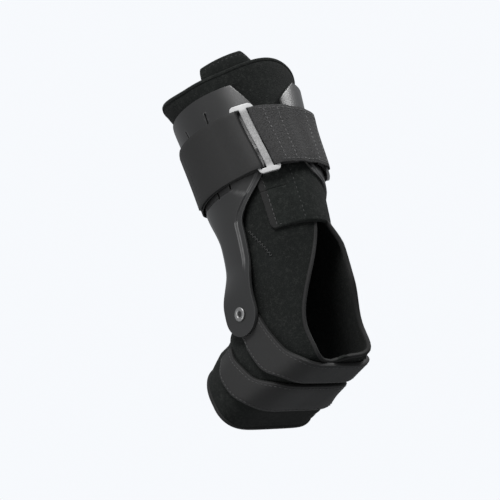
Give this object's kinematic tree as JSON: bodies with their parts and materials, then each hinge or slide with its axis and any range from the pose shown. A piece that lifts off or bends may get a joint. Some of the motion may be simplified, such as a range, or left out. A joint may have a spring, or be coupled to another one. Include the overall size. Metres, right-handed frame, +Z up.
{
  "type": "ankle foot orthosis",
  "caption": "Hinged ankle brace with rigid side shells on a stirrup, open-heel padded sleeve, ring-buckled cuff strap and peeling closure tabs.",
  "frame": {"origin": "on the flat underside of the sole straps, straight below the ankle hinge axis", "axes": "+X to the toes, +Y to the outer side of the left foot, +Z up; the hinge axis runs along Y 64 mm above the ground"},
  "size_m": [0.1609, 0.1017, 0.257],
  "materials": {
    "sleeve": "knit",
    "tongue": "knit",
    "binding": "woven",
    "stirrup": "satin",
    "foot_strap": "smooth",
    "rivet": "satin",
    "washer": "matte",
    "shell": "satin",
    "pad": "foam",
    "flap": "knit",
    "front_strap": "woven",
    "rear_strap": "brushed",
    "buckle": "satin",
    "hook": "matte"
  },
  "bodies": {
    "foot": {"foot_sleeve": "sleeve", "front_binding": "binding", "heel_binding": "binding", "stirrup": "stirrup", "stirrup_cover": "foot_strap", "arch_strap": "foot_strap", "lateral_hinge_rivet": "rivet", "medial_hinge_rivet": "rivet", "lateral_hinge_washer": "washer", "medial_hinge_washer": "washer"},
    "leg": {"leg_sleeve": "sleeve", "collar_binding": "binding", "inner_tongue": "tongue", "lateral_shell": "shell", "medial_shell": "shell", "lateral_shell_pad": "pad", "medial_shell_pad": "pad", "rear_closure_flap": "flap", "front_strap": "front_strap", "rear_strap": "rear_strap", "lateral_buckle": "buckle", "medial_buckle": "buckle"},
    "strap_tab": {"front_strap_tab": "front_strap", "front_tab_hook": "hook"},
    "flap_tab": {"rear_flap_tab": "flap", "rear_tab_hook": "hook"}
  },
  "joints": [
    {"name": "ankle_hinge", "type": "hinge", "parent": "foot", "child": "leg", "pos_m": [0, 0, 0.064], "axis": [0, 1, 0], "range_deg": [-25, 28]},
    {"name": "front_tab_peel", "type": "hinge", "parent": "leg", "child": "strap_tab", "pos_m": [-0.00992, 0.04126, 0.18179], "axis": [-0.1422, 0.093, 0.9855], "range_deg": [0, 60]},
    {"name": "rear_tab_peel", "type": "hinge", "parent": "leg", "child": "flap_tab", "pos_m": [-0.06666, 0.01812, 0.11429], "axis": [-0.2801, 0.0194, 0.9598], "range_deg": [0, 70]}
  ]
}
